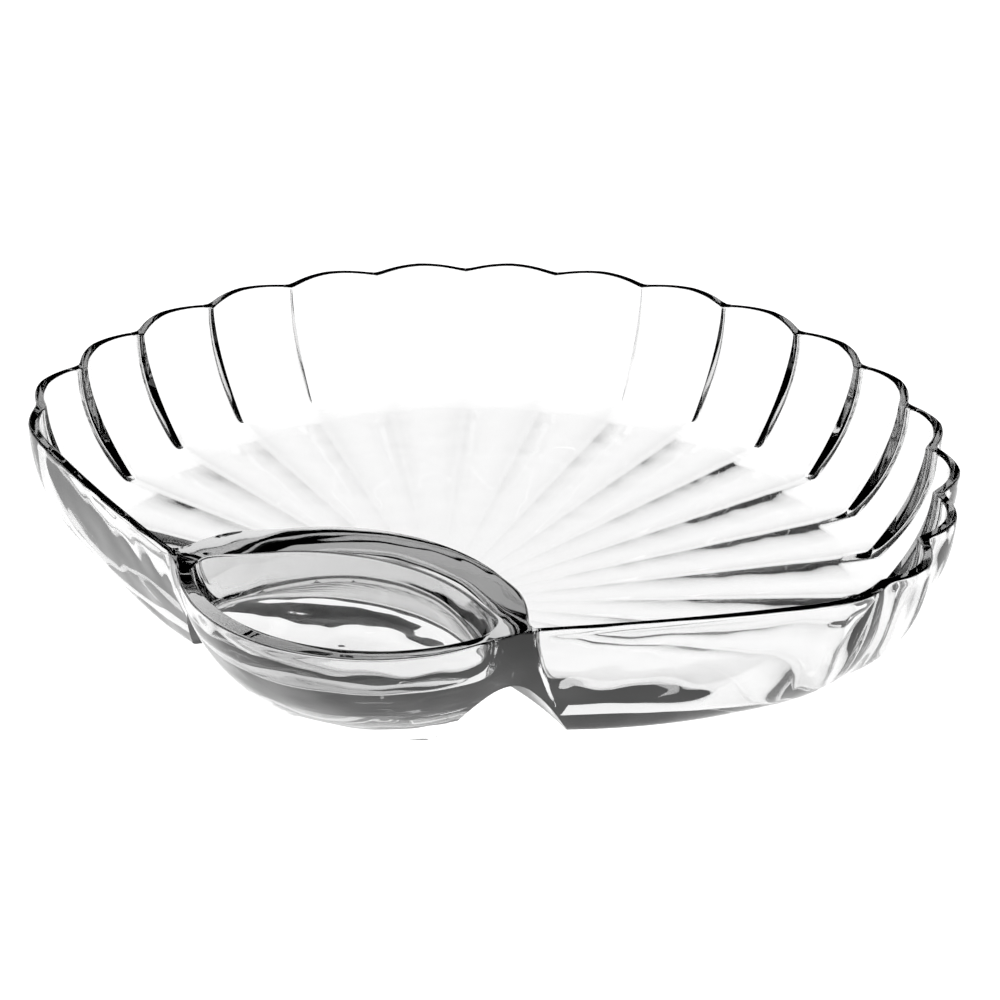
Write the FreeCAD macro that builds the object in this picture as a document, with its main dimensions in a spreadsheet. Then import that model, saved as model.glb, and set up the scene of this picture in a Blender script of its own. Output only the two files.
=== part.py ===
# Chip and dip server: a scallop-shell bowl with a built-in dip cup, one pressed-glass casting.
# Millimetres, +Z up. The origin is the centre of the rim circle, dropped to the table.
# The dip cup is at the front, toward -Y, and the piece is symmetric about the plane X = 0.
import FreeCAD, Part
import math
import os

from FreeCAD import Placement, Rotation, Vector

NAME = "chip_and_dip_server"

# Driving dimensions, kept in the sheet under the same names.
SIZES = {
    "rim_height": 46.5,
    "rim_notch_radius": 155.0,
    "rim_lobe_bulge": 5.5,
    "base_notch_radius": 127.0,
    "base_lobe_bulge": 4.0,
    "lobe_pitch_deg": 12.5,
    "lobe_count": 18.0,
    "end_notch_ratio": 0.944,
    "end_lobe_trim_deg": 1.5,
    "end_lobe_share": 0.45,
    "rib_radius_top": 151.6,
    "rib_radius_foot": 133.5,
    "rib_bulge": 5.0,
    "floor_top": 6.2,
    "cavity_top": 48.0,
    "heel_height": 8.0,
    "waist_height": 24.0,
    "cavity_low": 18.0,
    "cavity_mid": 32.0,
    "flute_depth": 2.4,
    "flute_outer_radius": 131.0,
    "flute_inner_radius": 46.0,
    "pinch_x": 57.0,
    "pinch_y": 106.0,
    "pinch_base_x": 49.0,
    "pinch_base_y": 87.0,
    "dip_front_y": 144.0,
    "dip_base_y": 109.0,
    "dip_floor_top": 29.5,
    "dip_wall_mid": 36.0,
    "crest_height": 44.0,
    "recess_top": 20.5,
    "groove_bottom": 18.0,
    "groove_top": 33.0,
    "divider_centre_y": 119.0,
    "divider_inner_radius": 50.0,
    "divider_outer_radius": 75.0,
    "floor_radius": 131.0,
}
S = SIZES
FIRST_ANGLE_DEG = 90.0 - S["lobe_pitch_deg"] * S["lobe_count"] / 2.0
FIRST_ANGLE = math.radians(FIRST_ANGLE_DEG)
WALL_SPLIT_DEG = 52.5
# The side panels are divided off just inside the end scallops, clear of the notch's own edge.
PANEL_SPLIT_PAST_NOTCH_DEG = 0.8

# Lens plans of the dip cup and of the hollow below it: half width, side, back and front, as -Y.
CUP_FLOOR_PLAN = (48.0, 102.0, 79.0, 127.0)
CUP_MID_PLAN = (51.2, 103.9, 76.7, 134.0)
CUP_TOP_PLAN = (53.0, 105.0, 75.5, 137.8)
RECESS_BASE_PLAN = (72.0, 86.0, 53.0, 101.0)
RECESS_ROOF_PLAN = (56.0, 98.0, 58.0, 117.0)
GROOVE_FOOT_PLAN = (48.0, 82.0, 58.0, 70.0)
GROOVE_ROOF_PLAN = (38.0, 75.0, 61.0, 67.0)

# Crest saddle: half widths of its level bottom and of its open top, and its run along Y.
SADDLE_LOW_HALF = 40.0
SADDLE_HIGH_HALF = 54.0
SADDLE_HIGH = 49.0
SADDLE_START = 45.0
SADDLE_RUN = 53.0

# Floor flutes: half width at each end, and the depth left at the inner end.
FLUTE_WIDE_HALF = 13.9
FLUTE_FINE_HALF = 4.4
FLUTE_FINE_DEPTH = 0.35
FLUTE_CLEARANCE = 2.0

# Solids smaller than this, in cubic millimetres, are slivers left by a cut.
SLIVER_VOLUME = 0.01

# Limits that divide the casting into regions reach past it by this much.
LIMIT_SIZE = 200.0
LIMIT_HEIGHT = 80.0
LIMIT_DROP = 10.0
FLOOR_SIDE_RATIO = 0.955
FLOOR_SIDE_TURN_DEG = 6.0
FLOOR_FRONT_CORNER = (66.0, -79.0)


def polar(radius, angle):
    return (radius * math.cos(angle), radius * math.sin(angle))


def bowed(start, end, bow):
    """An arc from start to end whose middle stands off the chord to the right by bow."""
    dx = end[0] - start[0]
    dy = end[1] - start[1]
    length = math.hypot(dx, dy)
    middle = (
        (start[0] + end[0]) / 2.0 + bow * dy / length,
        (start[1] + end[1]) / 2.0 - bow * dx / length,
    )
    return (start, middle, end)


def eased(low, high, share, power):
    """From low to high, fast at first and level at the end, as the wall turns up."""
    return low + (high - low) * (1.0 - (1.0 - share) ** power)


def lobes(notch_radius, bulge):
    """The scallops from the right end notch round the back to the left end notch.

    The two end scallops are shorter and flatter, and their outer notches are drawn in.
    """
    pitch = math.radians(S["lobe_pitch_deg"])
    trim = math.radians(S["end_lobe_trim_deg"])
    end_radius = notch_radius * S["end_notch_ratio"]
    count = int(S["lobe_count"])
    arcs = []
    for i in range(count):
        first = FIRST_ANGLE + i * pitch
        last = first + pitch
        r_first = r_last = notch_radius
        rise = bulge
        if i == 0:
            first += trim
            r_first = end_radius
            rise = bulge * S["end_lobe_share"]
        if i == count - 1:
            last -= trim
            r_last = end_radius
            rise = bulge * S["end_lobe_share"]
        r_mid = (r_first + r_last) / 2.0 + rise
        arcs.append((polar(r_first, first), polar(r_mid, (first + last) / 2.0), polar(r_last, last)))
    return arcs


def outer_outline(height):
    """The outside of the casting at a height: scallops, long side panels and the dip cup's front."""
    share = height / S["rim_height"]
    notch = eased(S["base_notch_radius"], S["rim_notch_radius"], share, 2.4)
    bulge = S["base_lobe_bulge"] + (S["rim_lobe_bulge"] - S["base_lobe_bulge"]) * share
    round_back = lobes(notch, bulge)
    pinch_x = eased(S["pinch_base_x"], S["pinch_x"], share, 1.6)
    pinch_y = -eased(S["pinch_base_y"], S["pinch_y"], share, 1.6)
    front_y = -eased(S["dip_base_y"], S["dip_front_y"], share, 1.5)
    left_end = round_back[-1][2]
    right_end = round_back[0][0]
    left_panel = bowed(left_end, (-pinch_x, pinch_y), 1.5)
    right_panel = bowed((pinch_x, pinch_y), right_end, 1.5)
    front = ((-pinch_x, pinch_y), (0.0, front_y), (pinch_x, pinch_y))
    return round_back + [left_panel, front, right_panel]


def bowl_outline(height):
    """The inside of the chip bowl at a height: ribs and lobes, side panels and the divider."""
    share = (height - S["floor_top"]) / (S["rim_height"] - S["floor_top"])
    share = min(share, 1.0)
    rib = eased(S["rib_radius_foot"], S["rib_radius_top"], share, 1.7)
    round_back = lobes(rib, S["rib_bulge"])
    corner_x = eased(60.0, 60.4, share, 1.7)
    corner_y = -eased(76.2, 101.1, share, 1.7)
    divider_y = -eased(46.0, 56.5, share, 1.7)
    left_panel = bowed(round_back[-1][2], (-corner_x, corner_y), 1.2)
    right_panel = bowed((corner_x, corner_y), round_back[0][0], 1.2)
    divider = ((-corner_x, corner_y), (0.0, divider_y), (corner_x, corner_y))
    return round_back + [left_panel, divider, right_panel]


def lens(half_width, side_y, back_y, front_y):
    """Two arcs that meet at the points (half_width, side_y) and (-half_width, side_y)."""
    right = (half_width, -side_y)
    left = (-half_width, -side_y)
    return [(right, (0.0, -back_y), left), (left, (0.0, -front_y), right)]


def drawn(sketch, arcs):
    """Puts a closed loop of arcs, each three points, into a sketch."""
    for start, middle, end in arcs:
        points = [Vector(x, y, 0.0) for x, y in (start, middle, end)]
        sketch.addGeometry(Part.Arc(*points), False)


def plane_of(body, role):
    return [f for f in body.Origin.OriginFeatures if f.Role == role][0]


def level_sketch(body, name, alias, arcs):
    """A sketch parallel to the table at the height held in a cell of the sheet."""
    sketch = body.newObject("Sketcher::SketchObject", name)
    sketch.AttachmentSupport = [(plane_of(body, "XY_Plane"), "")]
    sketch.MapMode = "FlatFace"
    if alias:
        sketch.setExpression("AttachmentOffset.Base.z", "<<Sizes>>." + alias)
    drawn(sketch, arcs)
    return sketch


def loft(body, kind, name, sketches, ruled=False):
    feature = body.newObject("PartDesign::" + kind, name)
    feature.Profile = sketches[0]
    feature.Sections = sketches[1:]
    feature.Ruled = ruled
    return feature


def flute_sketch(body, name, radius_alias, half_width, depth):
    """An upright sketch across one floor flute: an arc below the floor's top, closed above it."""
    radius = S[radius_alias]
    angle = FIRST_ANGLE + math.radians(S["lobe_pitch_deg"]) / 2.0
    sketch = body.newObject("Sketcher::SketchObject", name)
    sketch.AttachmentSupport = [(plane_of(body, "YZ_Plane"), "")]
    sketch.MapMode = "FlatFace"
    turn = Rotation(Vector(0, 1, 0), math.degrees(angle))
    place = Vector(radius * math.sin(angle), 0, radius * math.cos(angle))
    sketch.AttachmentOffset = Placement(place, turn)
    cell = "<<Sizes>>." + radius_alias
    degrees = repr(round(math.degrees(angle), 4)) + " deg"
    sketch.setExpression("AttachmentOffset.Base.x", cell + " * sin(" + degrees + ")")
    sketch.setExpression("AttachmentOffset.Base.z", cell + " * cos(" + degrees + ")")
    top = S["floor_top"]
    left = Vector(-half_width, top, 0)
    right = Vector(half_width, top, 0)
    sketch.addGeometry(Part.Arc(left, Vector(0, top - depth, 0), right), False)
    sketch.addGeometry(Part.Arc(right, Vector(0, top + FLUTE_CLEARANCE, 0), left), False)
    return sketch


def build():
    doc = FreeCAD.newDocument(NAME)
    sheet = doc.addObject("Spreadsheet::Sheet", "Sizes")
    for row, (alias, value) in enumerate(SIZES.items(), start=1):
        sheet.set("A%d" % row, alias)
        sheet.set("B%d" % row, repr(value))
        sheet.setAlias("B%d" % row, alias)
    doc.recompute()

    casting = doc.addObject("PartDesign::Body", "casting")
    casting.Label = "whole_casting"

    # Outside: four outlines from the table to the rim.
    outside = [
        level_sketch(casting, "outer_base", None, outer_outline(0.0)),
        level_sketch(casting, "outer_heel", "heel_height", outer_outline(S["heel_height"])),
        level_sketch(casting, "outer_waist", "waist_height", outer_outline(S["waist_height"])),
        level_sketch(casting, "outer_rim", "rim_height", outer_outline(S["rim_height"])),
    ]
    doc.recompute()
    loft(casting, "AdditiveLoft", "outer_form", outside)
    doc.recompute()

    # Chip bowl: the ribbed cavity, cut from the floor to just above the rim.
    cavity = [
        level_sketch(casting, "bowl_floor", "floor_top", bowl_outline(S["floor_top"])),
        level_sketch(casting, "bowl_low", "cavity_low", bowl_outline(S["cavity_low"])),
        level_sketch(casting, "bowl_mid", "cavity_mid", bowl_outline(S["cavity_mid"])),
        level_sketch(casting, "bowl_top", "cavity_top", bowl_outline(S["cavity_top"])),
    ]
    doc.recompute()
    loft(casting, "SubtractiveLoft", "bowl_cavity", cavity)
    doc.recompute()

    # Dip cup: a lens-shaped cavity with its own, higher floor.
    cup = [
        level_sketch(casting, "cup_floor", "dip_floor_top", lens(*CUP_FLOOR_PLAN)),
        level_sketch(casting, "cup_mid", "dip_wall_mid", lens(*CUP_MID_PLAN)),
        level_sketch(casting, "cup_top", "cavity_top", lens(*CUP_TOP_PLAN)),
    ]
    doc.recompute()
    loft(casting, "SubtractiveLoft", "cup_cavity", cup)
    doc.recompute()

    # Underside: the cup and the divider are hollow below, with an arched mouth at each pinch.
    recess = [
        level_sketch(casting, "recess_base", None, lens(*RECESS_BASE_PLAN)),
        level_sketch(casting, "recess_roof", "recess_top", lens(*RECESS_ROOF_PLAN)),
    ]
    groove = [
        level_sketch(casting, "groove_foot", "groove_bottom", lens(*GROOVE_FOOT_PLAN)),
        level_sketch(casting, "groove_roof", "groove_top", lens(*GROOVE_ROOF_PLAN)),
    ]
    doc.recompute()
    loft(casting, "SubtractiveLoft", "under_recess", recess, True)
    doc.recompute()
    loft(casting, "SubtractiveLoft", "under_groove", groove, True)
    doc.recompute()

    # Crest: the middle of the divider stands a little lower than the rim.
    saddle = casting.newObject("Sketcher::SketchObject", "saddle_profile")
    saddle.AttachmentSupport = [(plane_of(casting, "XZ_Plane"), "")]
    saddle.MapMode = "FlatFace"
    saddle.AttachmentOffset = Placement(Vector(0, 0, SADDLE_START), Rotation())
    low = S["crest_height"]
    corners = [
        (-SADDLE_LOW_HALF, low),
        (SADDLE_LOW_HALF, low),
        (SADDLE_HIGH_HALF, SADDLE_HIGH),
        (-SADDLE_HIGH_HALF, SADDLE_HIGH),
    ]
    for i in range(4):
        first = Vector(corners[i][0], corners[i][1], 0)
        last = Vector(corners[(i + 1) % 4][0], corners[(i + 1) % 4][1], 0)
        saddle.addGeometry(Part.LineSegment(first, last), False)
    doc.recompute()
    cut = casting.newObject("PartDesign::Pocket", "crest_saddle")
    cut.Profile = saddle
    cut.Type = 0
    cut.Length = SADDLE_RUN
    cut.Reversed = True
    doc.recompute()

    # Floor flutes: one hollow under each lobe, fading toward the middle.
    wide = flute_sketch(casting, "flute_wide", "flute_outer_radius", FLUTE_WIDE_HALF, S["flute_depth"])
    fine = flute_sketch(casting, "flute_fine", "flute_inner_radius", FLUTE_FINE_HALF, FLUTE_FINE_DEPTH)
    doc.recompute()
    flute = loft(casting, "SubtractiveLoft", "flute", [wide, fine], True)
    doc.recompute()
    fan = casting.newObject("PartDesign::PolarPattern", "flute_fan")
    fan.Originals = [flute]
    fan.Axis = (plane_of(casting, "Z_Axis"), [""])
    fan.setExpression("Angle", "<<Sizes>>.lobe_pitch_deg * (<<Sizes>>.lobe_count - 1) * 1 deg")
    fan.Occurrences = int(S["lobe_count"])
    casting.Tip = fan
    doc.recompute()
    return doc, casting


def cylinder(doc, name, radius_alias, y_expression):
    tool = doc.addObject("Part::Cylinder", name)
    tool.setExpression("Radius", "<<Sizes>>." + radius_alias)
    tool.Height = LIMIT_HEIGHT
    tool.Placement = Placement(Vector(0, 0, -LIMIT_DROP), Rotation())
    if y_expression:
        tool.setExpression("Placement.Base.y", y_expression)
    return tool


def boolean(doc, kind, name, base, tool):
    result = doc.addObject("Part::" + kind, name)
    result.Base = base
    result.Tool = tool
    doc.recompute()
    return result


def quarter(doc, name, side, turn_deg):
    """A box with one upright edge on the Z axis, which covers the 90 degrees clockwise of a direction.

    With side -1 it is the mirror image of that.
    """
    box = doc.addObject("Part::Box", name)
    box.Length = LIMIT_SIZE
    box.Width = LIMIT_SIZE
    box.Height = LIMIT_HEIGHT
    spin = Rotation(Vector(0, 0, 1), side * turn_deg)
    shift = Vector(0 if side > 0 else -LIMIT_SIZE, -LIMIT_SIZE, -LIMIT_DROP)
    box.Placement = Placement(spin.multVec(shift), spin)
    doc.recompute()
    return box


def floor_plate(doc):
    """The floor's limit: a round plate, cut back along the foot of each side panel."""
    plate = doc.addObject("PartDesign::Body", "floor_limit")
    radius = S["floor_radius"]
    side = polar(radius * FLOOR_SIDE_RATIO, FIRST_ANGLE)
    edge = polar(radius, FIRST_ANGLE + math.radians(FLOOR_SIDE_TURN_DEG))
    sketch = plate.newObject("Sketcher::SketchObject", "floor_edge")
    sketch.AttachmentSupport = [(plane_of(plate, "XY_Plane"), "")]
    sketch.MapMode = "FlatFace"
    right = [FLOOR_FRONT_CORNER, side, edge]
    left = [(-x, y) for x, y in reversed(right)]
    for run in (right, left, [left[-1], right[0]]):
        for first, last in zip(run, run[1:]):
            sketch.addGeometry(Part.LineSegment(Vector(*first, 0), Vector(*last, 0)), False)
    back = Part.Arc(Vector(*edge, 0), Vector(0, radius, 0), Vector(-edge[0], edge[1], 0))
    sketch.addGeometry(back, False)
    doc.recompute()
    pad = plate.newObject("PartDesign::Pad", "floor_pad")
    pad.Profile = sketch
    pad.setExpression("Length", "<<Sizes>>.floor_top + 2")
    doc.recompute()
    return plate


def regions(doc, casting):
    """The casting's regions, which meet face to face: cup, divider, floor, walls and side panels."""
    centre_y = "-1 * <<Sizes>>.divider_centre_y"
    inner = cylinder(doc, "inner_limit", "divider_inner_radius", centre_y)
    outer = cylinder(doc, "outer_limit", "divider_outer_radius", centre_y)
    inner_again = cylinder(doc, "inner_limit_again", "divider_inner_radius", centre_y)
    outer_again = cylinder(doc, "outer_limit_again", "divider_outer_radius", centre_y)
    doc.recompute()
    dip_cup = boolean(doc, "Common", "dip_cup", casting, inner)
    ring = boolean(doc, "Cut", "divider_limits", outer, inner_again)
    divider = boolean(doc, "Common", "divider", casting, ring)
    bowl = boolean(doc, "Cut", "bowl_part", casting, outer_again)

    plate = floor_plate(doc)
    chip_floor = boolean(doc, "Common", "chip_floor", bowl, plate)
    rest = boolean(doc, "Cut", "wall_part", bowl, plate)

    # Side panels up to the end notches, then the scalloped wall to each side of the back.
    named = []
    panel_end = FIRST_ANGLE_DEG + S["end_lobe_trim_deg"] + PANEL_SPLIT_PAST_NOTCH_DEG
    for kind, turn in (("side_panel", panel_end), ("scalloped_wall", WALL_SPLIT_DEG)):
        for side, hand in ((1, "right"), (-1, "left")):
            name = kind + "_" + hand
            limit = quarter(doc, name + "_limit", side, turn)
            named.append(boolean(doc, "Common", name, rest, limit))
            rest = boolean(doc, "Cut", name + "_rest", rest, limit)
    rest.Label = "scalloped_wall_back"
    return [dip_cup, divider, chip_floor, rest] + named


def whole_solid(part):
    """The part's one solid. A cut can leave a sliver of no volume beside it, which is left out."""
    shape = part.Shape
    if shape.isNull() or not shape.isValid():
        raise RuntimeError(part.Label + " has no valid shape")
    solids = [solid for solid in shape.Solids if solid.Volume > SLIVER_VOLUME]
    if len(solids) != 1:
        raise RuntimeError("%s has %d solids" % (part.Label, len(solids)))
    return solids[0]


def main():
    doc, casting = build()
    parts = regions(doc, casting)
    failed = [o.Name for o in doc.Objects if set(o.State) & {"Invalid", "Error"}]
    if failed:
        raise RuntimeError("failed objects: " + ", ".join(failed))
    os.makedirs("parts", exist_ok=True)
    for part in parts:
        solid = whole_solid(part)
        solid.exportStep("parts/" + part.Label + ".step")
        print(part.Label, round(solid.Volume, 1))


if __name__ == "__main__":
    main()
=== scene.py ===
"""Chip and dip server in clear pressed glass, laid out as a Blender add-on and run as a script."""

import math

import bmesh
import bpy
import numpy as np
from mathutils import Matrix, Vector


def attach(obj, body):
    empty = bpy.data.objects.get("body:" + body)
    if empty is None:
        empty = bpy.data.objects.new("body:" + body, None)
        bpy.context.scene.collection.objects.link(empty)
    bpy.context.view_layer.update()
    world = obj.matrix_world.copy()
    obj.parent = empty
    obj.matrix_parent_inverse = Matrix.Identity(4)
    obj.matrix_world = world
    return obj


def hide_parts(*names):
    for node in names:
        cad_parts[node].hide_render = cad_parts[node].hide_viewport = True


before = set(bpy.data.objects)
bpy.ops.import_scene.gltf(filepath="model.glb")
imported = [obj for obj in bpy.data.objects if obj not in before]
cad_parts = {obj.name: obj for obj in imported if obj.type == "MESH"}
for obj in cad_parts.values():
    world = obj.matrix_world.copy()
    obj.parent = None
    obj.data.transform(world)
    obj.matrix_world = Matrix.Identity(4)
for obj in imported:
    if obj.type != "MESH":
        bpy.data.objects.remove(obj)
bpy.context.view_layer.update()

bl_info = {
    "name": "Chip and dip server",
    "version": (1, 0, 0),
    "blender": (4, 5, 0),
    "location": "View3D > Sidebar > Server",
    "description": "Builds a scalloped glass chip and dip server and its studio",
    "category": "Add Mesh",
}

MM = 0.001
NODES = tuple(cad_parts)

# Layout of the casting, in millimetres, with the dip cup toward -Y.
LOBES = 18
PITCH = math.radians(12.5)
END_ANGLE = math.radians(90.0) - PITCH * LOBES / 2
FAN_CENTRE = np.array([0.0, -31.0])
CUP_CENTRE = np.array([0.0, -102.0])
FLOOR_TOP = 6.2

# The scallop at each end is drawn in by a share of the radius, shortened by an angle, and flatter.
END_PULL = 0.056
END_SHIFT = math.radians(1.5)
END_FLAT = 0.45
# Its foot stands out past the base radius, and every scallop bulges a little less at its foot.
END_SPREAD = 5.0
FOOT_BULGE = 4.0

# Outside of the front, at the table and at the rim: the corner at a pinch and the middle of the cup.
# With height both draw out fast at first, and the faster the higher the heel's power is.
PINCH_FOOT = (49.0, -87.0)
PINCH_RIM = (57.0, -106.0)
FRONT_FOOT = -109.0
FRONT_RIM = -144.0
HEEL = 1.6

# How far a side panel bows outward. Its belly adds to that half way up, and a negative one is hollow.
BOW_FOOT = 5.0
BOW_RIM = 1.5
PANEL_BELLY = -3.0

# The skin's lower edge stands a little above the table, lower under the scallops, and rises at each mouth.
BASE_LIFT = 0.7
LOBE_SINK = 0.55
MOUTH_RISE = 24.3

# Edges of the bowl's lining: radius to a notch, corner at a pinch, middle of the divider, bow of a panel.
BOWL_TOP = (150.9, (60.4, -101.1), -56.5, 1.2)
BOWL_FOOT = (133.5, (60.0, -76.2), -46.0, 1.2)
BOWL_BULGE = 5.9

# The flutes fade out at a share of the way from the wall to the middle of the fan.
FLUTE_END = 0.80
FLUTE_FADE = 0.08

# Edges of the dip cup's lining: half its length, then where its ends, its back and its front lie along Y.
CUP_TOP = (53.0, -105.0, -75.5, -137.8)
CUP_FOOT = (48.0, -102.0, -79.0, -127.0)
CUP_FULL_HEIGHT = 48.0

# The divider's crest falls from the rim's height over a run that starts this far from the middle.
CREST_END = 54.0
CREST_RUN = 16.0

# The hollow on the plane of symmetry, as Y and height: up in the divider, under the cup, down to its foot.
HOLLOW = np.array(
    [
        (-53.0, BASE_LIFT), (-54.2, 4.0), (-56.5, 14.0), (-58.6, 24.0), (-60.6, 30.5), (-63.0, 33.0),
        (-66.0, 33.0), (-68.6, 30.0), (-71.0, 24.5), (-74.5, 21.2), (-80.0, 20.5), (-96.0, 20.5),
        (-110.0, 20.5), (-115.0, 19.0), (-116.0, 15.0), (-111.0, 8.0), (-105.0, 2.6), (-103.0, BASE_LIFT),
    ]
)

# Rings of the base from its edge to its middle, as the share of the way out and of the edge's height.
BASE_RINGS = (
    (1.0, 1.0), (0.993, 0.25), (0.984, 0.0), (0.93, 0.0), (0.88, 0.0),
    (0.8, 0.0), (0.6, 0.0), (0.4, 0.0), (0.2, 0.0), (0.0, 0.0),
)

# The cup's foot from front to back, as a share of the way across and a height.
CUP_FOOT_SECTION = ((0.0, BASE_LIFT), (0.12, 0.18), (0.3, 0.0), (0.7, 0.0), (0.88, 0.18), (1.0, BASE_LIFT))

# Rounding of the ribs inside the bowl, as a share of the rounding of the grooves outside.
INNER_ROUNDING = 0.25

# How finely each stretch of the casting is divided.
PER_LOBE = 16
PER_PANEL = 36
PER_FRONT = 64
MOUTH_PANEL = 11
MOUTH_FRONT = 14
SKIN_ROWS = 30
SKIN_LEVELS = 80
CORNER_ROWS = 15
HOLLOW_ROWS = 37
FILLET_STEPS = 7

# Points closer than the weld are one point, and faces narrower than the sliver are dropped. In metres.
WELD = 0.00001
SLIVER = 0.000005
SHARP_ANGLE = math.radians(50)

# The studio, in metres: the lit table, and the room round it.
ROUND_SIDES = 96
FLOOR_Z = -0.0005
LIT_RADIUS = 0.36
ROOM_RADIUS = 6.0
ROOM_HEIGHT = 3.0
TABLE_GLOW = 1.34

# Soft boxes, all above every view: place, then half width and half height, in metres, and strength.
SOFT_BOXES = (
    ((-0.9, -1.6, 1.5), (0.08, 0.5), 1.6),
    ((1.6, -1.2, 0.9), (0.07, 0.5), 1.5),
    ((-1.7, 0.9, 2.2), (0.12, 0.5), 1.4),
    ((0.9, 1.0, 2.6), (0.1, 0.4), 1.3),
    ((-1.5, -0.2, 1.1), (0.16, 0.6), 1.8),
    ((1.5, -0.1, 1.3), (0.16, 0.6), 1.6),
    ((0.3, -1.0, 2.0), (0.5, 0.2), 1.2),
)

# Brightness of the room by height, from 0 straight down to 1 straight up: a bright band at the horizon.
ROOM_STOPS = ((0.44, 0.004), (0.46, 1.0), (0.54, 1.0), (0.56, 0.004))

# The camera: its place in metres, the way that it looks, and its focal length in sensor widths.
EYE = (0.4307, -1.0137, 0.5997)
AZIMUTH = math.radians(22.62)
ELEVATION = math.radians(27.35)
ROLL = math.radians(0.97)
SENSOR = 36.0
LENS = 3.704


def linear(hex_colour):
    """An sRGB hex colour as the linear RGBA that Blender's sockets take."""
    channels = [int(hex_colour[i : i + 2], 16) / 255 for i in (1, 3, 5)]
    return tuple(c / 12.92 if c <= 0.04045 else ((c + 0.055) / 1.055) ** 2.4 for c in channels) + (1.0,)


def add_node(tree, kind, values=None, links=None, **settings):
    """Adds a node, sets its properties and inputs, and links inputs to other nodes' outputs."""
    node = tree.nodes.new(kind)
    for name, value in settings.items():
        setattr(node, name, value)
    for socket, value in (values or {}).items():
        node.inputs[socket].default_value = value
    for socket, source in (links or {}).items():
        tree.links.new(source, node.inputs[socket])
    return node


class ServerSizes(bpy.types.PropertyGroup):
    """Sizes of the casting."""

    rim_height: bpy.props.FloatProperty(
        name="Rim height", description="Table to the top of the rim", default=46.5 * MM, unit="LENGTH"
    )
    rim_radius: bpy.props.FloatProperty(
        name="Rim radius",
        description="Centre to a notch between two scallops",
        default=155 * MM,
        unit="LENGTH",
    )
    base_radius: bpy.props.FloatProperty(
        name="Base radius", description="Centre to a notch at the table", default=124 * MM, unit="LENGTH"
    )
    lobe_bulge: bpy.props.FloatProperty(
        name="Scallop bulge",
        description="How far a scallop stands out past its notches",
        default=5.5 * MM,
        unit="LENGTH",
    )
    rib_softness: bpy.props.FloatProperty(
        name="Rib softness",
        description="Rounding of the outer grooves, as a share of a scallop",
        default=0.055,
        min=0.0,
        max=0.2,
    )
    flute_depth: bpy.props.FloatProperty(
        name="Flute depth",
        description="Depth of a floor flute at its wide end",
        default=2.4 * MM,
        unit="LENGTH",
    )
    rim_round: bpy.props.FloatProperty(
        name="Rim rounding", description="Radius of the fire-polished rim", default=0.9 * MM, unit="LENGTH"
    )
    crest_drop: bpy.props.FloatProperty(
        name="Crest drop",
        description="How far the divider's middle lies below the rim",
        default=2.5 * MM,
        unit="LENGTH",
    )
    cup_floor: bpy.props.FloatProperty(
        name="Dip cup floor", description="Height of the dip cup's floor", default=29.5 * MM, unit="LENGTH"
    )


LENGTHS = (
    "rim_height",
    "rim_radius",
    "base_radius",
    "lobe_bulge",
    "flute_depth",
    "rim_round",
    "crest_drop",
    "cup_floor",
)


class ServerColours(bpy.types.PropertyGroup):
    """Colours of the glass and of the studio."""

    glass: bpy.props.FloatVectorProperty(
        name="Glass",
        description="Tint of the glass",
        subtype="COLOR",
        size=4,
        default=linear("#FFFFFF"),
        min=0,
        max=1,
    )
    backdrop: bpy.props.FloatVectorProperty(
        name="Backdrop",
        description="Floor and backdrop",
        subtype="COLOR",
        size=4,
        default=linear("#FFFFFF"),
        min=0,
        max=1,
    )


def polar(radius, angle):
    """Points at these radii and angles about the centre."""
    return np.stack([radius * np.cos(angle), radius * np.sin(angle)], axis=-1)


def eased(low, high, share, power):
    """From low to high, fast at first and slower toward the end."""
    return low + (high - low) * (1.0 - (1.0 - share) ** power)


def arc(first, middle, last, shares):
    """Points on the circle through three points, at shares of the way from first to last."""
    (ax, ay), (bx, by), (cx, cy) = first, middle, last
    # The centre of the circle, by the formula for the circumcentre of a triangle.
    d = 2 * (ax * (by - cy) + bx * (cy - ay) + cx * (ay - by))
    a2, b2, c2 = ax * ax + ay * ay, bx * bx + by * by, cx * cx + cy * cy
    ux = (a2 * (by - cy) + b2 * (cy - ay) + c2 * (ay - by)) / d
    uy = (a2 * (cx - bx) + b2 * (ax - cx) + c2 * (bx - ax)) / d
    start = math.atan2(ay - uy, ax - ux)
    end = math.atan2(cy - uy, cx - ux)
    mid = math.atan2(by - uy, bx - ux)
    turn = (end - start) % (2 * math.pi)
    if (mid - start) % (2 * math.pi) > turn:
        turn -= 2 * math.pi
    angles = start + turn * shares
    return np.array([ux, uy]) + polar(math.hypot(ax - ux, ay - uy), angles)


def bowed(first, last, bow, shares):
    """A shallow arc whose middle stands off the chord to the right by bow."""
    first, last = np.array(first), np.array(last)
    chord = last - first
    off = np.array([chord[1], -chord[0]]) / np.hypot(*chord)
    bend = 4 * shares * (1 - shares)
    return first + chord * shares[:, None] + off * (bow * bend)[:, None]


def soft_corner(loop, index, reach, passes):
    """Rounds a closed outline's corner by averaging the points around it."""
    n = len(loop)
    ids = np.arange(index - reach, index + reach + 1) % n
    weight = np.cos(np.linspace(-1, 1, len(ids)) * math.pi / 2) ** 2
    for _ in range(passes):
        near = (loop[(ids - 1) % n] + loop[(ids + 1) % n]) / 2
        loop[ids] += (near - loop[ids]) * 0.9 * weight[:, None]
    return loop


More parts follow.
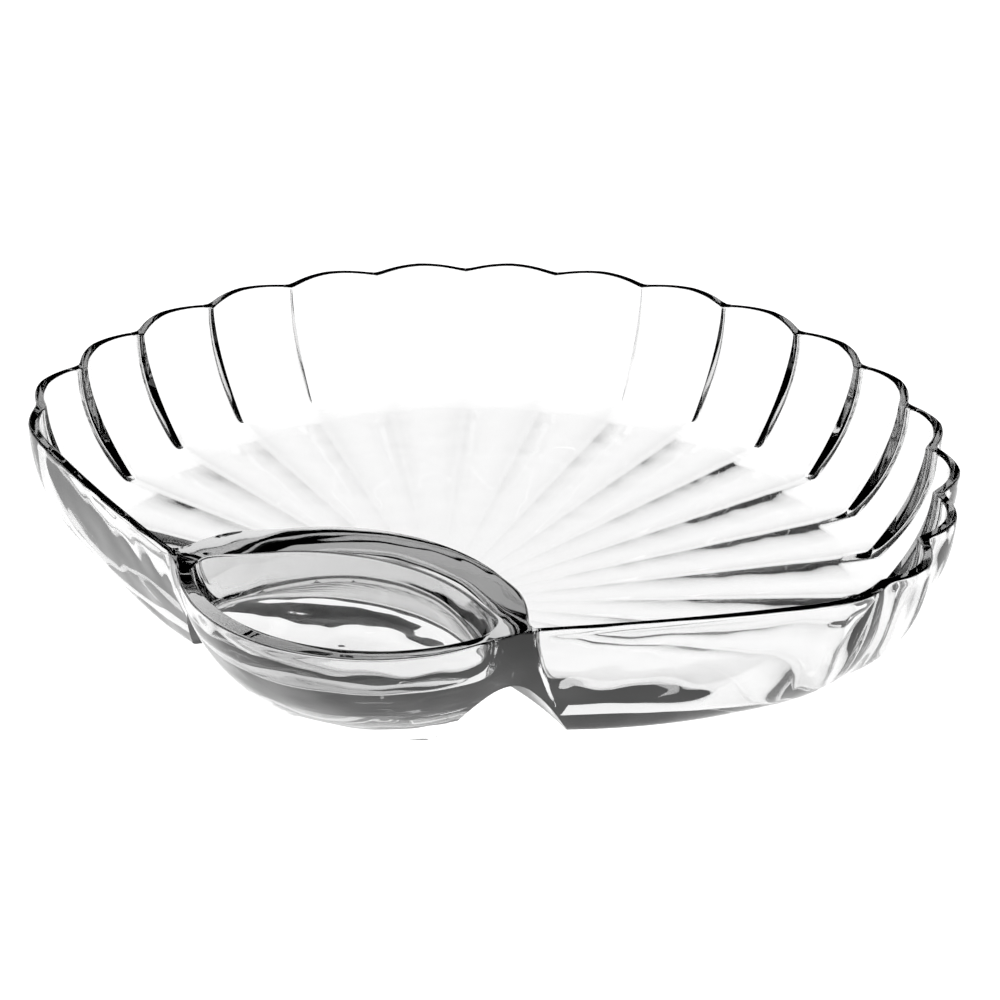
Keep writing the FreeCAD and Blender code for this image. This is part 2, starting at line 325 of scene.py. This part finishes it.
PANEL_SHARES = (np.arange(PER_PANEL) / PER_PANEL) ** 1.25
LOBE_SHARES = np.arange(LOBES * PER_LOBE) / PER_LOBE
FRONT_SHARES = np.arange(PER_FRONT) / PER_FRONT
PINCH_RIGHT = 0
NOTCH_RIGHT = PER_PANEL
NOTCH_LEFT = PER_PANEL + LOBES * PER_LOBE
PINCH_LEFT = NOTCH_LEFT + PER_PANEL
AROUND = PINCH_LEFT + PER_FRONT


def nearness(shares, reach):
    """1 at the two ends of the round back, falling to 0 at reach scallops from them."""
    from_end = np.minimum(shares, LOBES - shares)
    return np.clip(1 - from_end / reach, 0, 1)


def back_angles(shares):
    """Angles round the back. The end scallops are a little shorter than the rest."""
    side = np.where(shares < LOBES / 2, 1, -1)
    return END_ANGLE + shares * PITCH + side * END_SHIFT * nearness(shares, 1.0)


def round_back(radius):
    """The round back from the right end notch, its last point left out; radius may differ per point."""
    angles = back_angles(LOBE_SHARES)
    return polar(radius * (1 - END_PULL * nearness(LOBE_SHARES, 1.0)), angles)


def closed_outline(radius, corner, front_y, bow):
    """Right panel, round back, left panel and front arc, as one loop that runs anticlockwise."""
    back = round_back(radius)
    notch_right = back[0]
    notch_left = notch_right * (-1, 1)
    x, y = corner
    right = bowed((x, y), notch_right, bow, PANEL_SHARES)
    left = bowed(notch_left, (-x, y), bow, 1 - np.append(PANEL_SHARES[1:], 1.0)[::-1])
    front = arc((-x, y), (0.0, front_y), (x, y), FRONT_SHARES)
    return np.concatenate([right, back, left, front])


def outer_outline(z, size):
    """The outside at a height. The round back turns under gently; the straight panels have a firmer heel."""
    share = z / size["rim_height"]
    near = nearness(LOBE_SHARES, 1.6) ** 1.5
    foot = size["base_radius"] + END_SPREAD * near
    rise = (1.0 - (1.0 - share) ** 2.4) ** (0.62 + 0.18 * near)
    corner = [eased(low, high, share, HEEL) for low, high in zip(PINCH_FOOT, PINCH_RIM)]
    loop = closed_outline(
        foot + (size["rim_radius"] - foot) * rise,
        corner,
        FRONT_FOOT + (FRONT_RIM - FRONT_FOOT) * eased(0.0, 1.0, share, HEEL) ** 0.85,
        BOW_FOOT + (BOW_RIM - BOW_FOOT) * share + PANEL_BELLY * 4 * share * (1 - share),
    )
    soft_corner(loop, PINCH_RIGHT, 5, 14)
    soft_corner(loop, PINCH_LEFT, 5, 14)
    return loop


def bulge_direction():
    """Unit vectors along which each point of a loop moves as its scallop swells, zero off the scallops."""
    out = np.zeros((AROUND, 3))
    from_end = np.minimum(LOBE_SHARES, LOBES - LOBE_SHARES)
    amount = np.where(from_end < 1, END_FLAT, 1.0)
    out[NOTCH_RIGHT:NOTCH_LEFT, :2] = polar(amount, back_angles(LOBE_SHARES))
    return out


def scallop_phase():
    """Where each point of a loop lies in its scallop, from 0 at one rib to 1 at the next."""
    out = np.zeros(AROUND)
    out[NOTCH_RIGHT:NOTCH_LEFT] = LOBE_SHARES % 1.0
    return out


class Shell:
    """Collects grids of points with their scallop attributes, and joins them into one mesh."""

    def __init__(self):
        self.points = []
        self.reach = []
        self.phase = []
        self.round = []
        self.faces = []
        self.rounding = 1.0
        self.count = 0

    def add(self, points, reach=None, phase=None):
        """Adds points and returns the number of the first one."""
        points = np.asarray(points, float).reshape(-1, 3)
        n = len(points)
        self.points.append(points)
        self.reach.append(np.zeros((n, 3)) if reach is None else np.asarray(reach, float).reshape(-1, 3))
        self.phase.append(np.zeros(n) if phase is None else np.asarray(phase, float).reshape(-1))
        self.round.append(np.broadcast_to(np.ravel(self.rounding), n))
        self.count += n
        return self.count - n

    def grid(self, points, reach=None, phase=None, closed=False):
        """A grid of quads over points[row][column]. A closed grid joins its last column to its first."""
        rows, cols = points.shape[:2]
        first = self.add(points, reach, phase)
        ids = first + np.arange(rows * cols).reshape(rows, cols)
        if closed:
            ids = np.concatenate([ids, ids[:, :1]], axis=1)
        a, b, c, d = ids[:-1, :-1], ids[:-1, 1:], ids[1:, 1:], ids[1:, :-1]
        self.faces += np.stack([a, b, c, d], axis=-1).reshape(-1, 4).tolist()

    def polygon(self, points):
        """One face with these corners."""
        first = self.add(points)
        self.faces.append(list(range(first, first + len(points))))

    def mesh(self, name):
        """Everything as one mesh in metres, with its scallop values as attributes of the points."""
        mesh = bpy.data.meshes.new(name)
        points = np.concatenate(self.points) * MM
        mesh.from_pydata(points.tolist(), [], self.faces)
        for attribute, kind, field, values in (
            ("scallop_reach", "FLOAT_VECTOR", "vector", self.reach),
            ("scallop_phase", "FLOAT", "value", self.phase),
            ("rib_rounding", "FLOAT", "value", self.round),
        ):
            data = mesh.attributes.new(attribute, kind, "POINT").data
            data.foreach_set(field, np.concatenate(values).ravel())
        return mesh
def bend(length, softness):
    """A ramp that is 0 far before the corner and equals length far after it, rounded between."""
    return 0.5 * (length + np.sqrt(length * length + softness * softness))


def lining(top, foot, centre, z_foot, z_full, z_top, power, softness, wall_rows, floor_rows, drop=None):
    """Rows from a cavity's edge down its wall and over its floor to the centre.

    top and foot are outlines at z_full and z_foot, and z_top is where the wall starts, per point.
    drop gives the floor's extra depth for a share of the way from the foot to the centre.
    """
    n = len(top)
    span = np.hypot(*(top - foot).T)
    height = z_full - z_foot
    wall_length = np.hypot(span, height)
    floor_length = np.hypot(*(foot - centre).T)
    start = (z_top - z_foot) / height * wall_length
    near = 3.0 * softness
    wall = np.linspace(1, 0, wall_rows, endpoint=False)[:, None] * (start - near) + near
    corner = np.linspace(near, -near, CORNER_ROWS, endpoint=False)[:, None] * np.ones(n)
    ramp = np.linspace(0, 1, floor_rows)[:, None] ** 0.9
    inner = np.minimum(near, 0.8 * floor_length)
    floor = -(inner + ramp * (floor_length - inner))
    corner = np.where(corner < 0, corner / near * inner, corner)
    length = np.concatenate([wall, corner, floor])
    on_wall = bend(length, softness) / wall_length
    on_floor = bend(-length, softness) / floor_length
    on_wall = on_wall - bend(-floor_length, softness) / wall_length
    share = np.clip(on_wall, 0, 1)
    rise = 1 - (1 - share) ** power
    inward = np.clip(on_floor, 0, 1)
    plan = foot + (top - foot) * rise[..., None] + (centre - foot) * inward[..., None]
    z = z_foot + height * share
    if drop is not None:
        z = z - drop(inward)
    plan[-1] = centre
    z[-1] = z[-1].mean()
    z[0] = z_top
    return np.concatenate([plan, z[..., None]], axis=-1)


def crest_height(x, size):
    """Top of the divider: level with the rim at its ends, lower in the middle."""
    t = np.clip((CREST_END - np.abs(x)) / CREST_RUN, 0, 1)
    return size["rim_height"] - size["crest_drop"] * t * t * (3 - 2 * t)


def bowl_rows(size):
    """The chip bowl's lining and the way its scallops swell, row by row."""
    top = closed_outline(*BOWL_TOP)
    foot = closed_outline(*BOWL_FOOT)
    for loop in (top, foot):
        soft_corner(loop, PINCH_RIGHT, 3, 6)
        soft_corner(loop, PINCH_LEFT, 3, 6)
    z_top = np.full(AROUND, size["rim_height"])
    z_top[PINCH_LEFT:] = crest_height(top[PINCH_LEFT:, 0], size)
    z_top[PINCH_LEFT] = z_top[0] = size["rim_height"]
    shape = {
        "centre": FAN_CENTRE,
        "z_foot": FLOOR_TOP,
        "z_full": size["rim_height"],
        "z_top": z_top - size["rim_round"],
        "power": 1.7,
        "softness": 1.3,
        "wall_rows": 22,
        "floor_rows": 46,
    }
    rib = lining(top, foot, **shape)
    out = bulge_direction()[:, :2] * BOWL_BULGE

    def drop(inward):
        """Depth of a flute: full by the wall, and none near the middle of the fan."""
        fade = bend(FLUTE_END - inward, FLUTE_FADE) / FLUTE_END
        return size["flute_depth"] * np.clip(fade, 0, 1.1)

    lobe = lining(top + out, foot + out, **shape, drop=drop)
    lobe[:, :NOTCH_RIGHT] = rib[:, :NOTCH_RIGHT]
    lobe[:, NOTCH_LEFT:] = rib[:, NOTCH_LEFT:]
    reach = (lobe - rib) / size["lobe_bulge"]
    reach[-1] = 0
    return rib, reach


def lens(half, side_y, back_y, front_y):
    """The cup's outline: the front arc from left to right, then the divider's arc back again."""
    front = arc((-half, side_y), (0.0, front_y), (half, side_y), FRONT_SHARES)
    back = arc((half, side_y), (0.0, back_y), (-half, side_y), FRONT_SHARES)
    return np.concatenate([front, back])


def cup_rows(size):
    """The dip cup's lining, row by row."""
    top = lens(*CUP_TOP)
    foot = lens(*CUP_FOOT)
    for loop in (top, foot):
        soft_corner(loop, 0, 4, 10)
        soft_corner(loop, PER_FRONT, 4, 10)
    z_top = np.full(2 * PER_FRONT, size["rim_height"])
    z_top[PER_FRONT:] = crest_height(top[PER_FRONT:, 0], size)
    z_top[PER_FRONT] = z_top[0] = size["rim_height"]
    return lining(
        top,
        foot,
        centre=CUP_CENTRE,
        z_foot=size["cup_floor"],
        z_full=CUP_FULL_HEIGHT,
        z_top=z_top - size["rim_round"],
        power=2.4,
        softness=1.6,
        wall_rows=18,
        floor_rows=14,
    )


def mouth_arch(steps):
    """Heights of an arched mouth's edge, from the pinch down to the table."""
    share = np.arange(steps + 1) / steps
    return BASE_LIFT + MOUTH_RISE * (1 - share**2.2) ** 1.25


def low_edge():
    """Height of the outer skin's lower edge: the table, or the arched mouth at each pinch."""
    z = np.full(AROUND, BASE_LIFT)
    z[NOTCH_RIGHT:NOTCH_LEFT] = BASE_LIFT - LOBE_SINK * (1 - nearness(LOBE_SHARES, 1.0))
    panel = mouth_arch(MOUTH_PANEL)
    front = mouth_arch(MOUTH_FRONT)
    z[: MOUTH_PANEL + 1] = panel
    z[AROUND - MOUTH_FRONT :] = front[1:][::-1]
    z[PINCH_LEFT - MOUTH_PANEL : PINCH_LEFT + 1] = panel[::-1]
    z[PINCH_LEFT : PINCH_LEFT + MOUTH_FRONT + 1] = front
    return z


def skin_rows(size, z_rim):
    """The outside from the lower edge up to the start of the rim's rounding."""
    low = low_edge()
    levels = np.linspace(0, size["rim_height"], SKIN_LEVELS)
    outlines = np.stack([outer_outline(z, size) for z in levels])
    z = low + (z_rim - low) * np.linspace(0, 1, SKIN_ROWS)[:, None]
    at = z / levels[1]
    below = np.clip(at.astype(int), 0, SKIN_LEVELS - 2)
    part = (at - below)[..., None]
    cols = np.arange(AROUND)
    plan = outlines[below, cols] * (1 - part) + outlines[below + 1, cols] * part
    points = np.concatenate([plan, z[..., None]], axis=-1)
    bulge = FOOT_BULGE + (size["lobe_bulge"] - FOOT_BULGE) * z / size["rim_height"]
    reach = bulge_direction() * (bulge / size["lobe_bulge"])[..., None]
    return points, reach


def strip(shell, outer, inner, radius, reach=None, phase=None):
    """A rounded top between two edges: a quarter-round at each side and a flat between."""
    gap = inner - outer
    width = np.hypot(gap[:, 0], gap[:, 1])[:, None]
    across = gap / width
    across[:, 2] = 0
    r = np.minimum(radius, 0.49 * width)
    angles = np.linspace(0, math.pi / 2, FILLET_STEPS + 1)
    up = np.array([0, 0, 1.0])
    rows = [outer + across * r * (1 - math.cos(a)) + up * radius * math.sin(a) for a in angles]
    rows += [inner - across * r * (1 - math.cos(a)) + up * radius * math.sin(a) for a in angles[::-1]]
    rows = np.stack(rows)
    if reach is not None:
        share = np.hypot(*(rows[..., :2] - outer[:, :2]).transpose(2, 0, 1)) / width.T
        reach = reach[0] * (1 - share[..., None]) + reach[1] * share[..., None]
        phase = np.broadcast_to(phase, rows.shape[:2])
        shell.rounding = 1 + (INNER_ROUNDING - 1) * share
    shell.grid(rows, reach, phase)
    shell.rounding = 1.0
    return rows


def hollow_grid(mouth):
    """The hollow that runs from one arched mouth to the other, as rows from left to right."""
    steps = np.append(0, np.cumsum(np.hypot(*np.diff(HOLLOW, axis=0).T)))
    wanted = np.linspace(0, steps[-1], len(mouth))
    y_mid = np.interp(wanted, steps, HOLLOW[:, 0])
    z_mid = np.interp(wanted, steps, HOLLOW[:, 1])
    side = np.linspace(-1, 1, HOLLOW_ROWS)[:, None]
    x = side * mouth[:, 0]
    y = y_mid + (mouth[:, 1] - y_mid) * side**2
    z = z_mid + (mouth[:, 2] - z_mid) * np.abs(side) ** 2.4
    return np.stack([x, y, z], axis=-1)


def underside(shell, edge, edge_reach, phase):
    """The hollow between the two mouths, the flat base and the cup's own foot."""
    right_mouth = np.concatenate([np.arange(MOUTH_PANEL, -1, -1), AROUND - np.arange(1, MOUTH_FRONT + 1)])
    hollow = hollow_grid(edge[right_mouth])
    shell.grid(hollow)

    # The base: the round back and the panels, closed by the hollow's near edge.
    loop = np.arange(MOUTH_PANEL, PINCH_LEFT - MOUTH_PANEL + 1)
    near_edge = hollow[1:-1, 0]
    rim = np.concatenate([edge[loop], near_edge])
    rim_reach = np.concatenate([edge_reach[loop], np.zeros_like(near_edge)])
    rim_phase = np.concatenate([phase[loop], np.zeros(len(near_edge))])
    rows = []
    reaches = []
    for share, lift in BASE_RINGS:
        row = rim * share
        row[:, 2] = rim[:, 2] * lift
        rows.append(row)
        reaches.append(rim_reach * share**3)
    phases = np.broadcast_to(rim_phase, (len(rows), len(rim_phase)))
    shell.grid(np.stack(rows), np.stack(reaches), phases, closed=True)

    # The cup's foot: a crescent between the front of the skin and the hollow's far edge.
    front = edge[np.arange(PINCH_LEFT + MOUTH_FRONT, AROUND - MOUTH_FRONT + 1)]
    back = hollow[:, -1]
    rows = []
    for share, height in CUP_FOOT_SECTION:
        row = front + (back - front) * share
        row[:, 2] = height
        rows.append(row)
    shell.grid(np.stack(rows))


def casting_mesh(size):
    """The whole casting as one closed mesh, its scallops still flat and their swelling in attributes."""
    shell = Shell()
    phase = scallop_phase()
    bowl, bowl_reach = bowl_rows(size)
    shell.rounding = INNER_ROUNDING
    shell.grid(bowl, bowl_reach, np.broadcast_to(phase, bowl.shape[:2]), closed=True)
    shell.rounding = 1.0

    cup = cup_rows(size)
    shell.grid(cup, closed=True)

    radius = size["rim_round"]
    skin, skin_reach = skin_rows(size, size["rim_height"] - radius)
    shell.grid(skin, skin_reach, np.broadcast_to(phase, skin.shape[:2]), closed=True)

    # The rounded tops: round the bowl, along the cup's front and along the divider.
    outside = skin[-1]
    inside = bowl[0]
    around = np.arange(PINCH_LEFT + 1)
    reaches = (skin_reach[-1][around], bowl_reach[0][around])
    back = strip(shell, outside[around], inside[around], radius, reaches, phase[around])
    front_ids = np.arange(PINCH_LEFT, AROUND + 1) % AROUND
    front = strip(shell, outside[front_ids], cup[0][: PER_FRONT + 1], radius)
    cup_back = cup[0][np.append(np.arange(PER_FRONT, 2 * PER_FRONT), 0)][::-1]
    crest = strip(shell, inside[front_ids], cup_back, radius)

    # Each pinch: three rounded edges run together round a small level platform.
    half = FILLET_STEPS + 1
    for back_col, front_col in ((0, -1), (-1, 0)):
        sides = (
            (back[:half, back_col], front[:half, front_col]),
            (back[half:, back_col][::-1], crest[:half, front_col]),
            (front[half:, front_col][::-1], crest[half:, front_col][::-1]),
        )
        for one, two in sides:
            shell.grid(np.stack([one, two]))
        outer, bowl_side, cup_side = [(one[-1], two[-1]) for one, two in sides]
        shell.polygon([outer[0], *bowl_side, cup_side[1], cup_side[0], outer[1]])

    underside(shell, skin[0], skin_reach[0], phase)
    return shell.mesh("casting")


def scallop_tree(material):
    """Geometry Nodes that swell each scallop between its ribs, by a rounded parabola of its phase."""
    tree = bpy.data.node_groups.new("scallops", "GeometryNodeTree")
    face = tree.interface
    face.new_socket("Geometry", in_out="INPUT", socket_type="NodeSocketGeometry")
    bulge = face.new_socket("Scallop bulge", in_out="INPUT", socket_type="NodeSocketFloat")
    soft = face.new_socket("Rib softness", in_out="INPUT", socket_type="NodeSocketFloat")
    face.new_socket("Geometry", in_out="OUTPUT", socket_type="NodeSocketGeometry")
    start = add_node(tree, "NodeGroupInput")
    named = "GeometryNodeInputNamedAttribute"
    phase = add_node(tree, named, {"Name": "scallop_phase"}, data_type="FLOAT").outputs[0]
    reach = add_node(tree, named, {"Name": "scallop_reach"}, data_type="FLOAT_VECTOR").outputs[0]
    rounding = add_node(tree, named, {"Name": "rib_rounding"}, data_type="FLOAT").outputs[0]

    # Distance q to the nearer rib, as a share of a scallop.
    maths = "ShaderNodeMath"
    other = add_node(tree, maths, {0: 1.0}, {1: phase}, operation="SUBTRACT").outputs[0]
    nearest = add_node(tree, maths, links={0: phase, 1: other}, operation="MINIMUM").outputs[0]

    # The same rounded at the rib: the root of q squared plus softness squared, less softness.
    softest = start.outputs["Rib softness"]
    softness = add_node(tree, maths, links={0: softest, 1: rounding}, operation="MULTIPLY").outputs[0]
    squared = add_node(tree, maths, links={0: nearest, 1: nearest}, operation="MULTIPLY").outputs[0]
    soft_squared = add_node(tree, maths, links={0: softness, 1: softness}, operation="MULTIPLY").outputs[0]
    total = add_node(tree, maths, links={0: squared, 1: soft_squared}, operation="ADD").outputs[0]
    root = add_node(tree, maths, links={0: total}, operation="SQRT").outputs[0]
    rounded = add_node(tree, maths, links={0: root, 1: softness}, operation="SUBTRACT").outputs[0]

    # The parabola 4 q (1 - q), which is 0 at a rib and 1 half way between two.
    left = add_node(tree, maths, {0: 1.0}, {1: rounded}, operation="SUBTRACT").outputs[0]
    product = add_node(tree, maths, links={0: rounded, 1: left}, operation="MULTIPLY").outputs[0]
    weight = add_node(tree, maths, {0: 4.0}, {1: product}, operation="MULTIPLY").outputs[0]
    swell = start.outputs["Scallop bulge"]
    amount = add_node(tree, maths, links={0: weight, 1: swell}, operation="MULTIPLY").outputs[0]
    offset = add_node(tree, "ShaderNodeVectorMath", links={0: reach, "Scale": amount}, operation="SCALE")

    moves = {"Geometry": start.outputs["Geometry"], "Offset": offset.outputs[0]}
    moved = add_node(tree, "GeometryNodeSetPosition", links=moves)
    merged = add_node(tree, "GeometryNodeMergeByDistance", {"Distance": WELD}, {"Geometry": moved.outputs[0]})
    real = add_node(tree, "GeometryNodeRealizeInstances", links={"Geometry": merged.outputs[0]})
    painted = add_node(tree, "GeometryNodeSetMaterial", {"Material": material}, {"Geometry": real.outputs[0]})
    add_node(tree, "NodeGroupOutput", links={0: painted.outputs[0]})
    return tree, bulge.identifier, soft.identifier


def glass_material(colours):
    """Pressed soda-lime glass, fire polished: clear and glossy, with the waviness that the mould leaves."""
    material = bpy.data.materials.new("pressed_soda_lime_glass")
    material.use_nodes = True
    tree = material.node_tree
    tree.nodes.clear()
    # 45 waves to the metre, so one about every 22 mm: long, soft streaks in the thick parts.
    place = add_node(tree, "ShaderNodeTexCoord")
    waves = add_node(
        tree, "ShaderNodeTexNoise", {"Scale": 45.0, "Detail": 1.0}, {"Vector": place.outputs["Object"]}
    )
    # The thick front, from the divider on, is four times as wavy as the thin bowl, which looks smooth.
    where = add_node(tree, "ShaderNodeSeparateXYZ", links={0: place.outputs["Object"]})
    share = add_node(
        tree,
        "ShaderNodeMapRange",
        {"From Min": -45 * MM, "From Max": -85 * MM, "To Min": 0.25, "To Max": 1.0},
        {"Value": where.outputs["Y"]},
        interpolation_type="SMOOTHSTEP",
    )
    height = add_node(
        tree, "ShaderNodeMath", links={0: waves.outputs[0], 1: share.outputs[0]}, operation="MULTIPLY"
    )
    ripple = add_node(
        tree, "ShaderNodeBump", {"Strength": 0.8, "Distance": 1.8 * MM}, {"Height": height.outputs[0]}
    )
    glass = add_node(
        tree,
        "ShaderNodeBsdfPrincipled",
        {"Base Color": tuple(colours.glass), "Roughness": 0.0, "IOR": 1.52, "Transmission Weight": 1.0},
        {"Normal": ripple.outputs[0]},
    )
    # Plain grey absorption, stronger than such glass really has: part real absorption and part painted shade
    # in place of the dark surroundings, so long paths through the rim, the ribs and the cup read dark, and
    # the thin walls stay clear.
    body = add_node(tree, "ShaderNodeVolumeAbsorption", {"Color": linear("#E4E4E4"), "Density": 100.0})
    add_node(
        tree, "ShaderNodeOutputMaterial", links={"Surface": glass.outputs[0], "Volume": body.outputs[0]}
    )
    return material


def glow_material(name, strength, colour=linear("#FFFFFF")):
    """A lamp's diffuser or lit paper: it gives off plain light and reflects none."""
    material = bpy.data.materials.new(name)
    material.use_nodes = True
    tree = material.node_tree
    tree.nodes.clear()
    glow = add_node(tree, "ShaderNodeEmission", {"Color": colour, "Strength": strength})
    add_node(tree, "ShaderNodeOutputMaterial", links={"Surface": glow.outputs[0]})
    return material


def linked_object(name, mesh):
    """A new object for a mesh, in the scene's own collection."""
    piece = bpy.data.objects.new(name, mesh)
    bpy.context.scene.collection.objects.link(piece)
    return piece


def weld(mesh):
    """Merges the casting's doubles, drops its slivers and turns its faces outward."""
    work = bmesh.new()
    work.from_mesh(mesh)
    bmesh.ops.remove_doubles(work, verts=work.verts, dist=WELD)
    bmesh.ops.dissolve_degenerate(work, dist=SLIVER, edges=work.edges)
    bmesh.ops.recalc_face_normals(work, faces=work.faces)
    work.to_mesh(mesh)
    work.free()


class SERVER_OT_casting(bpy.types.Operator):
    """Make the glass casting and let it stand for the CAD regions"""

    bl_idname = "server.casting"
    bl_label = "Glass casting"

    def execute(self, context):
        scene = context.scene
        sizes = scene.server_sizes
        lengths = {name: getattr(sizes, name) / MM for name in LENGTHS}
        base = linked_object("server_casting", casting_mesh(lengths))
        material = glass_material(scene.server_colours)
        tree, bulge_id, soft_id = scallop_tree(material)
        modifier = base.modifiers.new("scallops", "NODES")
        modifier.node_group = tree
        modifier[bulge_id] = sizes.lobe_bulge
        modifier[soft_id] = sizes.rib_softness
        evaluated = base.evaluated_get(context.evaluated_depsgraph_get())
        mesh = bpy.data.meshes.new_from_object(evaluated)
        base.modifiers.clear()
        base.data = mesh
        for name in ("scallop_reach", "scallop_phase", "rib_rounding"):
            if name in mesh.attributes:
                mesh.attributes.remove(mesh.attributes[name])
        weld(mesh)
        mesh.shade_smooth()
        mesh.set_sharp_from_angle(angle=SHARP_ANGLE)
        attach(base, "root")
        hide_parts(*NODES)
        return {"FINISHED"}


def ring(radius, z):
    """Points round a level circle."""
    turns = np.linspace(0, 2 * math.pi, ROUND_SIDES, endpoint=False)
    return [(radius * math.cos(a), radius * math.sin(a), z) for a in turns]


def lit_table(paper):
    """The round lit table that the dish stands on."""
    mesh = bpy.data.meshes.new("floor")
    mesh.from_pydata(ring(LIT_RADIUS, FLOOR_Z), [], [tuple(range(ROUND_SIDES))])
    mesh.materials.append(paper)
    linked_object("floor", mesh)


def plain_surround(paper):
    """Plain white past the lit table for the camera alone: there the glass itself sees only the dark room."""
    n = ROUND_SIDES
    faces = [(i, (i + 1) % n, n + (i + 1) % n, n + i) for i in range(n)]
    for name, low, high in (
        ("far_floor", (LIT_RADIUS, FLOOR_Z), (ROOM_RADIUS, FLOOR_Z)),
        ("backdrop", (ROOM_RADIUS, FLOOR_Z), (ROOM_RADIUS, ROOM_HEIGHT)),
    ):
        mesh = bpy.data.meshes.new(name)
        mesh.from_pydata(ring(*low) + ring(*high), [], faces)
        mesh.materials.append(paper)
        outer = linked_object(name, mesh)
        outer.visible_glossy = False
        outer.visible_transmission = False
        outer.visible_diffuse = False


def soft_box(name, place, half_size, strength):
    """A glowing card that faces the dish and that the camera doesn't see."""
    aim = -Vector(place).normalized()
    across = aim.cross(Vector((0, 0, 1))).normalized()
    up = across.cross(aim)
    corners = [
        tuple(Vector(place) + across * (side * half_size[0]) + up * (rise * half_size[1]))
        for side, rise in ((-1, -1), (1, -1), (1, 1), (-1, 1))
    ]
    mesh = bpy.data.meshes.new(name)
    mesh.from_pydata(corners, [], [(0, 1, 2, 3)])
    mesh.materials.append(glow_material(name, strength))
    card = linked_object(name, mesh)
    card.visible_camera = False


def dark_room(scene):
    """The world: a dark room with a bright band round it at the height of the horizon."""
    world = bpy.data.worlds.new("studio")
    world.use_nodes = True
    scene.world = world
    tree = world.node_tree
    tree.nodes.clear()
    where = add_node(tree, "ShaderNodeTexCoord")
    split = add_node(tree, "ShaderNodeSeparateXYZ", links={0: where.outputs["Generated"]})
    height = add_node(
        tree, "ShaderNodeMath", {1: 0.5, 2: 0.5}, {0: split.outputs["Z"]}, operation="MULTIPLY_ADD"
    )
    ramp = add_node(tree, "ShaderNodeValToRGB", links={0: height.outputs[0]})
    elements = ramp.color_ramp.elements
    while len(elements) < len(ROOM_STOPS):
        elements.new(0.5)
    for element, (at, level) in zip(elements, ROOM_STOPS):
        element.position = at
        element.color = (level, level, level, 1)
    sky = add_node(tree, "ShaderNodeBackground", {"Strength": 1.0}, {"Color": ramp.outputs[0]})
    add_node(tree, "ShaderNodeOutputWorld", links={"Surface": sky.outputs[0]})


def long_camera(scene):
    """A long lens, above the cup's side and a little to its right."""
    camera = bpy.data.cameras.new("camera")
    camera.sensor_width = SENSOR
    camera.lens = LENS * SENSOR
    camera.clip_start = 0.05
    camera.clip_end = 50.0
    eye = bpy.data.objects.new("camera", camera)
    scene.collection.objects.link(eye)
    back = Vector(
        (
            math.sin(AZIMUTH) * math.cos(ELEVATION),
            -math.cos(AZIMUTH) * math.cos(ELEVATION),
            math.sin(ELEVATION),
        )
    )
    level = Vector((math.cos(AZIMUTH), math.sin(AZIMUTH), 0))
    up = back.cross(level)
    right = level * math.cos(ROLL) + up * math.sin(ROLL)
    up = back.cross(right)
    turn = Matrix((right, up, back)).transposed().to_4x4()
    eye.matrix_world = Matrix.Translation(Vector(EYE)) @ turn
    scene.camera = eye


class SERVER_OT_studio(bpy.types.Operator):
    """Make the floor, the lights and the camera"""

    bl_idname = "server.studio"
    bl_label = "Studio"

    def execute(self, context):
        scene = context.scene
        paper = glow_material("backdrop_paper", TABLE_GLOW, tuple(scene.server_colours.backdrop))
        lit_table(paper)
        plain_surround(paper)
        for number, (place, half_size, strength) in enumerate(SOFT_BOXES):
            soft_box(f"soft_box_{number}", place, half_size, strength)
        dark_room(scene)
        long_camera(scene)
        scene.view_settings.view_transform = "Standard"
        return {"FINISHED"}


class SERVER_PT_panel(bpy.types.Panel):
    """Sidebar panel with the sizes, colours and building steps"""

    bl_idname = "SERVER_PT_panel"
    bl_label = "Chip and dip server"
    bl_space_type = "VIEW_3D"
    bl_region_type = "UI"
    bl_category = "Server"

    def draw(self, context):
        layout = self.layout
        for group in (context.scene.server_sizes, context.scene.server_colours):
            for name in group.__annotations__:
                layout.prop(group, name)
        for operator in OPERATORS:
            layout.operator(operator.bl_idname)


OPERATORS = (SERVER_OT_casting, SERVER_OT_studio)
CLASSES = (ServerSizes, ServerColours, *OPERATORS, SERVER_PT_panel)


def register():
    for cls in CLASSES:
        bpy.utils.register_class(cls)
    bpy.types.Scene.server_sizes = bpy.props.PointerProperty(type=ServerSizes)
    bpy.types.Scene.server_colours = bpy.props.PointerProperty(type=ServerColours)


def unregister():
    del bpy.types.Scene.server_colours
    del bpy.types.Scene.server_sizes
    for cls in reversed(CLASSES):
        bpy.utils.unregister_class(cls)


def main():
    register()
    bpy.ops.server.casting()
    bpy.ops.server.studio()


if __name__ == "__main__":
    main()
